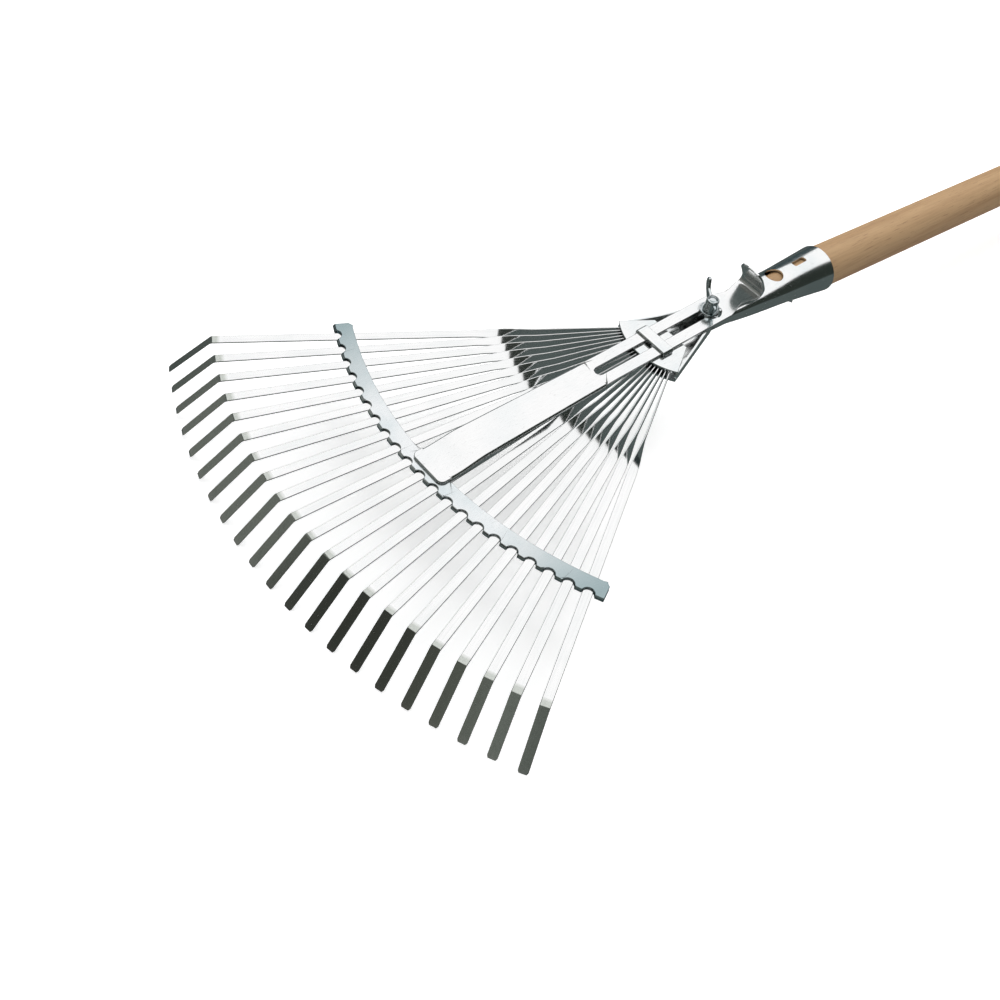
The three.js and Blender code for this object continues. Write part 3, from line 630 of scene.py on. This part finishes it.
def buildStrap():
    shape = strapShape
    flange = shape["flange"]
    slotStart, slotEnd, slotHalf = shape["slot"]
    rows = strapStations()
    end = rows[-1][3]
    points, inSlot = [], []
    half = shape["sheet"] / 2
    for x, z, angle, run in rows:
        width = strapHalfWidth(run, run - shape["front"], end - run)
        turned = min(smooth(flange["start"] - 0.01, flange["start"] + flange["startRamp"], run),
                     1 - smooth(flange["end"] - flange["endRamp"], flange["end"] + 0.01, run))
        rise = min(max((run - shape["joggle"][1]) / (flange["step"] - shape["joggle"][1]), 0), 1)
        lowest = mix(flange["deep"], flange["shallow"], rise) + flange["lift"]
        depth = max(z - lowest, flange["bend"])
        bend = flange["bend"]
        fromSlotEnd = min(run - slotStart, slotEnd - run)
        slot = 0.0
        if fromSlotEnd > 0:
            slot = math.sqrt(max(slotHalf ** 2 - max(slotHalf - fromSlotEnd, 0) ** 2, 0))
        inSlot.append(fromSlotEnd >= -0.001)
        edge = width - half
        down = [(edge, -depth), (edge, -mix(depth, bend, 0.5))]
        down += [(edge - bend * (1 - math.cos(a)), -bend * (1 - math.sin(a)))
                 for a in (math.radians(d) for d in (0, 22, 45, 67, 90))]
        flat = [(width - inset, 0) for inset in (0, 0.6, 1.2, 1.5, 1.8, 2.1, 2.4)]
        side = [(mix(a[0], b[0], turned), mix(a[1], b[1], turned)) for a, b in zip(flat, down)]
        deckEdge = side[-1][0]
        deck = [(mix(deckEdge, slot, share), 0) for share in (0.33, 0.66, 1.0)]
        row = side + deck
        row = row + [(-y, down) for y, down in reversed(row)]
        for y, down in row:
            points.append((x - down * math.sin(angle), y, z + down * math.cos(angle)))
    columns = len(row)
    middle = columns // 2 - 1
    faces = []
    for index in range(len(rows) - 1):
        for column in range(columns - 1):
            if column == middle and inSlot[index] and inSlot[index + 1]:
                continue
            first = index * columns + column
            faces.append((first, first + 1, first + 1 + columns, first + columns))
    sheet = cleaned(meshFrom("strap", points, faces), 0.01)
    mesh = applied(sheet, sheetStep(shape["sheet"]))
    mesh = applied(cleaned(mesh, 0.005), bevelStep(0.45, 3, 50, False))
    mesh.transform(headToFrame)
    return newPiece("adjusting_strap", mesh, 50)


buildStrap()
print("strap formed")


# Turned pieces: a profile of radius and height, spun around an axis.
def spun(profile, segments=48):
    points, faces = [], []
    for radius, height in profile:
        for step in range(segments):
            angle = 2 * math.pi * step / segments
            points.append((radius * math.cos(angle), radius * math.sin(angle), height))
    for ring in range(len(profile) - 1):
        for step in range(segments):
            first = ring * segments + step
            second = ring * segments + (step + 1) % segments
            faces.append((first, second, second + segments, first + segments))
    return points, faces


def closedRing(profile, segments=48):
    points, faces = spun(profile, segments)
    last = (len(profile) - 1) * segments
    for step in range(segments):
        faces.append((last + step, last + (step + 1) % segments, (step + 1) % segments, step))
    return points, faces


# Clamp bolt: a carriage bolt with a domed head below and a thread up through the wing nut.
boltShape = {
    "radius": 2.9,
    "headRadius": 6.2,
    "headTop": -5.0,
    "headHeight": 2.8,
    "top": 15.3,
    "threadStart": 7.0,
    "threadDepth": 0.32,
    "pitch": 1.0,
}


def buildBolt():
    shape = boltShape
    bottom = shape["headTop"] - shape["headHeight"]
    profile = [(0.001, bottom)]
    for step in range(1, 9):
        angle = math.radians(90 * step / 8)
        profile.append((shape["headRadius"] * math.sin(angle), bottom + 2.0 * (1 - math.cos(angle))))
    profile += [(shape["headRadius"], shape["headTop"] - 0.1)]
    profile += [(shape["headRadius"] - 0.2, shape["headTop"])]
    profile += [(shape["radius"], shape["headTop"]), (shape["radius"], shape["threadStart"])]
    z = shape["threadStart"]
    while z < shape["top"] - 0.9:
        profile += [(shape["radius"] - shape["threadDepth"], z + shape["pitch"] * 0.5)]
        profile += [(shape["radius"], z + shape["pitch"] * 0.92), (shape["radius"], z + shape["pitch"])]
        z += shape["pitch"]
    profile += [(shape["radius"] - 0.5, shape["top"] - 0.1), (shape["radius"] - 0.8, shape["top"])]
    profile += [(0.001, shape["top"] - 0.7)]     # cupped end
    mesh = cleaned(meshFrom("bolt", *spun(profile)), 0.005)
    mesh.transform(headToFrame @ Matrix.Translation((boltX, 0, 0)))
    return newPiece("clamp_bolt", mesh, 30)


# Wing nut: a conical skirt under a round crown, with two rounded ears.
nutShape = {
    "bottom": 7.9,
    "height": 8.2,
    "foot": 5.4,
    "crown": 4.3,
    "bore": 3.05,
    "ear": 2.4,
    "turn": 58.0,
}


def buildWingNut():
    shape = nutShape
    low = shape["bottom"]
    high = low + shape["height"]
    foot, crown, bore = shape["foot"], shape["crown"], shape["bore"]
    profile = [
        (bore + 0.5, low), (foot - 0.4, low), (foot - 0.1, low + 0.12), (foot, low + 0.5),
        (foot - 0.1, low + 1.3), (foot - 0.6, low + 2.3), (crown, low + 4.5), (crown, high - 1.1),
        (crown - 0.12, high - 0.55), (crown - 0.45, high - 0.15), (crown - 0.8, high),
        (bore + 0.35, high), (bore, high - 0.4), (bore, low + 0.5),
    ]
    points, faces = closedRing(profile, 56)
    hub = cleaned(meshFrom("hub", points, faces))
    outline = [
        (2.9, low + 0.9), (5.0, low + 0.9), (6.9, low + 1.2), (10.4, low + 2.7), (13.6, low + 4.9),
        (15.8, low + 7.2), (16.9, low + 9.6), (16.8, low + 11.6), (16.1, low + 13.0), (14.6, low + 13.5),
        (13.2, low + 13.0), (12.3, low + 11.4), (11.5, low + 8.9), (10.2, low + 7.8), (8.4, low + 7.3),
        (5.6, low + 7.0), (2.9, low + 6.8),
    ]
    ears = []
    for side in (1, -1):
        earPoints = [(side * x, y, z) for y in (-shape["ear"] / 2, shape["ear"] / 2) for x, z in outline]
        count = len(outline)
        earFaces = [tuple(range(count)), tuple(range(2 * count - 1, count - 1, -1))]
        earFaces += [(k, (k + 1) % count, (k + 1) % count + count, k + count) for k in range(count)]
        ear = cleaned(meshFrom("ear", earPoints, earFaces))
        ears.append(applied(ear, bevelStep(0.8, 3, 50)))
    whole = bmesh.new()
    for part in (hub, *ears):
        whole.from_mesh(part)
    mesh = bpy.data.meshes.new("wing nut")
    whole.to_mesh(mesh)
    whole.free()
    turn = Matrix.Rotation(math.radians(shape["turn"]), 4, "Z")
    mesh.transform(headToFrame @ Matrix.Translation((boltX, 0, 0)) @ turn)
    return newPiece("wing_nut", mesh, 45)


buildBolt()
buildWingNut()
print("bolt and wing nut made")

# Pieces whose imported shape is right: rounded edges and their finish.
fromNode("socket_base", 0.4)
fromNode("clamp_washer", 0.25)
fromNode("cover_plate", 0.35, clamp=False)
fromNode("strap_keeper", 0.42, clamp=False)
fromNode("handle", 0, 40)
print("holder, keeper, washer and handle finished")


# Stage: a pale floor, a white studio and dark flags that only the metal's reflections see.
studio = {
    "floorSize": 30.0,
    "floorColor": 0.86,
    "floorGlow": 0.54,
    "worldLight": 0.5,
    "keyPower": 26.0,
    "keySize": 1.6,
    "keyOffset": (0.9, 0.75, 1.5),
    "flagRadius": 2.4,
    "flagCentre": (60, 0, 0),        # in the head's axes
    "floorFlagSize": 2.5,
    "floorFlagTone": (0.08, 0.098, 0.095),
    "floorGap": 0.0002,
}


def stageFloor():
    material, tree, shader = newMaterial("floor")
    pale = studio["floorColor"]
    shader.inputs["Base Color"].default_value = (pale, pale, pale, 1)
    shader.inputs["Roughness"].default_value = 0.9
    shader.inputs["Emission Color"].default_value = (1, 1, 1, 1)
    rays = addNode(tree, "ShaderNodeLightPath")
    seen = addNode(tree, "ShaderNodeMath", {
        0: rays.outputs["Is Camera Ray"], 1: rays.outputs["Is Glossy Ray"]}, operation="MAXIMUM")
    inputs = {0: seen.outputs[0], 1: studio["floorGlow"]}
    glow = addNode(tree, "ShaderNodeMath", inputs, operation="MULTIPLY")
    tree.links.new(glow.outputs[0], shader.inputs["Emission Strength"])
    size = studio["floorSize"]
    corners = [(-size, -size, 0), (size, -size, 0), (size, size, 0), (-size, size, 0)]
    mesh = meshFrom("floor", corners, [(0, 1, 2, 3)])
    mesh.materials.append(material)
    floor = bpy.data.objects.new("floor", mesh)
    floor.location.z = cadBox[0].z - studio["floorGap"]
    scene.collection.objects.link(floor)


def flagMaterial():
    material = bpy.data.materials.new("flag")
    material.use_nodes = True
    tree = material.node_tree
    tree.nodes.clear()
    tone = addNode(tree, "ShaderNodeAttribute", attribute_name="tone").outputs["Color"]
    glow = addNode(tree, "ShaderNodeEmission", {"Color": tone, "Strength": 1.0})
    addNode(tree, "ShaderNodeOutputMaterial", {"Surface": glow.outputs[0]})
    return material


def addFlag(name, points, faces, tones):
    mesh = meshFrom(name, points, faces)
    tone = mesh.color_attributes.new("tone", "FLOAT_COLOR", "POINT")
    for index, color in enumerate(tones):
        tone.data[index].color = (*color, 1)
    mesh.materials.append(flagMaterial())
    flag = bpy.data.objects.new(name, mesh)
    scene.collection.objects.link(flag)
    flag.visible_camera = False
    flag.visible_diffuse = False
    flag.visible_shadow = False
    flag.visible_transmission = False
    flag.visible_volume_scatter = False


# Tones around the dome: compass angle from the handle's direction, then linear colour.
flagTones = {
    "flag_teeth": {
        "elevations": (0, 62),
        "tones": (
            (84, (0.09, 0.11, 0.11)), (104, (0.10, 0.11, 0.105)), (116, (0.20, 0.21, 0.195)),
            (146, (0.20, 0.21, 0.195)), (156, (0.05, 0.052, 0.046)), (178, (0.05, 0.052, 0.046)),
            (190, (0.11, 0.115, 0.10)), (204, (0.21, 0.225, 0.21)), (222, (0.04, 0.045, 0.04)),
            (335, (0.022, 0.028, 0.024)),
        ),
    },
    "flag_low": {
        "elevations": (0, 26),
        "tones": ((-25, (0.025, 0.03, 0.03)), (30, (0.03, 0.05, 0.055)), (84, (0.09, 0.11, 0.11))),
    },
}


def flagDome(name, flag, centre):
    # Part of a dome around the head, from one compass angle to another.
    tones = flag["tones"]
    points, faces, colors = [], [], []
    columns, rows = 72, 6
    for row in range(rows + 1):
        up = math.radians(mix(*flag["elevations"], row / rows))
        for column in range(columns + 1):
            angle = mix(tones[0][0], tones[-1][0], column / columns)
            for (firstAngle, first), (secondAngle, second) in zip(tones, tones[1:]):
                if angle <= secondAngle + 0.001:
                    share = (angle - firstAngle) / (secondAngle - firstAngle)
                    colors.append(tuple(mix(a, b, share) for a, b in zip(first, second)))
                    break
            turn = math.radians(angle)
            aim = Vector((math.cos(turn) * math.cos(up), math.sin(turn) * math.cos(up), math.sin(up)))
            points.append(centre + aim * studio["flagRadius"])
    for row in range(rows):
        for column in range(columns):
            first = row * (columns + 1) + column
            faces.append((first, first + 1, first + columns + 2, first + columns + 1))
    addFlag(name, points, faces, colors)


def studioFlags():
    centre = headToFrame @ Vector(studio["flagCentre"])
    centre.z = 0
    for name, flag in flagTones.items():
        flagDome(name, flag, centre)
    z = cadBox[0].z + studio["floorGap"] / 2
    size = studio["floorFlagSize"]
    signs = ((-1, -1), (1, -1), (1, 1), (-1, 1))
    corners = [(centre.x + x * size, centre.y + y * size, z) for x, y in signs]
    addFlag("flag_floor", corners, [(0, 1, 2, 3)], [studio["floorFlagTone"]] * 4)


def studioWorld():
    world = bpy.data.worlds.new("studio")
    scene.world = world
    world.use_nodes = True
    tree = world.node_tree
    tree.nodes.clear()
    rays = addNode(tree, "ShaderNodeLightPath")
    light = addNode(tree, "ShaderNodeBackground", {"Color": (1, 1, 1, 1), "Strength": studio["worldLight"]})
    white = addNode(tree, "ShaderNodeBackground", {"Color": (1, 1, 1, 1), "Strength": 1.0})
    seen = addNode(tree, "ShaderNodeMath", {
        0: rays.outputs["Is Camera Ray"], 1: rays.outputs["Is Glossy Ray"]}, operation="MAXIMUM")
    inputs = {0: seen.outputs[0], 1: light.outputs[0], 2: white.outputs[0]}
    surface = addNode(tree, "ShaderNodeMixShader", inputs)
    addNode(tree, "ShaderNodeOutputWorld", {"Surface": surface.outputs[0]})


def keyLamp():
    centre = headToFrame @ Vector(studio["flagCentre"])
    place = centre + Vector(studio["keyOffset"])
    light = bpy.data.lights.new("key", "AREA")
    light.shape = "SQUARE"
    light.size = studio["keySize"]
    light.energy = studio["keyPower"]
    lamp = bpy.data.objects.new("key", light)
    lamp.location = place
    lamp.visible_glossy = False
    lamp.rotation_euler = (centre - place).to_track_quat("-Z", "Y").to_euler()
    scene.collection.objects.link(lamp)


# Camera, in the head's axes: it looks down on the fan from the teeth's side.
cameraView = {
    "aim": (28.6, -40.2, 0.0),
    "distance": 770.7,
    "azimuth": -137.54,
    "elevation": 51.11,
    "roll": 10.15,
    "lens": 48.37,
}


def addCamera():
    view = cameraView
    turn = math.radians(view["azimuth"])
    lift = math.radians(view["elevation"])
    back = Vector((math.cos(turn) * math.cos(lift), math.sin(turn) * math.cos(lift), math.sin(lift)))
    right = Vector((0, 0, 1)).cross(back).normalized()
    up = back.cross(right)
    roll = math.radians(view["roll"])
    rolledRight = right * math.cos(roll) + up * math.sin(roll)
    rolledUp = up * math.cos(roll) - right * math.sin(roll)
    place = Vector(view["aim"]) + back * view["distance"]
    data = bpy.data.cameras.new("camera")
    data.lens = view["lens"]
    data.sensor_width = 36
    data.clip_start = 0.01
    camera = bpy.data.objects.new("camera", data)
    turnToFrame = headToFrame.to_3x3() * (1 / mm)
    axes = Matrix([turnToFrame @ axis for axis in (rolledRight, rolledUp, back)]).transposed()
    camera.matrix_world = Matrix.Translation(headToFrame @ place) @ axes.to_4x4()
    scene.collection.objects.link(camera)
    scene.camera = camera


stageFloor()
studioFlags()
studioWorld()
keyLamp()
addCamera()
scene.view_settings.view_transform = "Standard"
print("stage, lights and camera set")
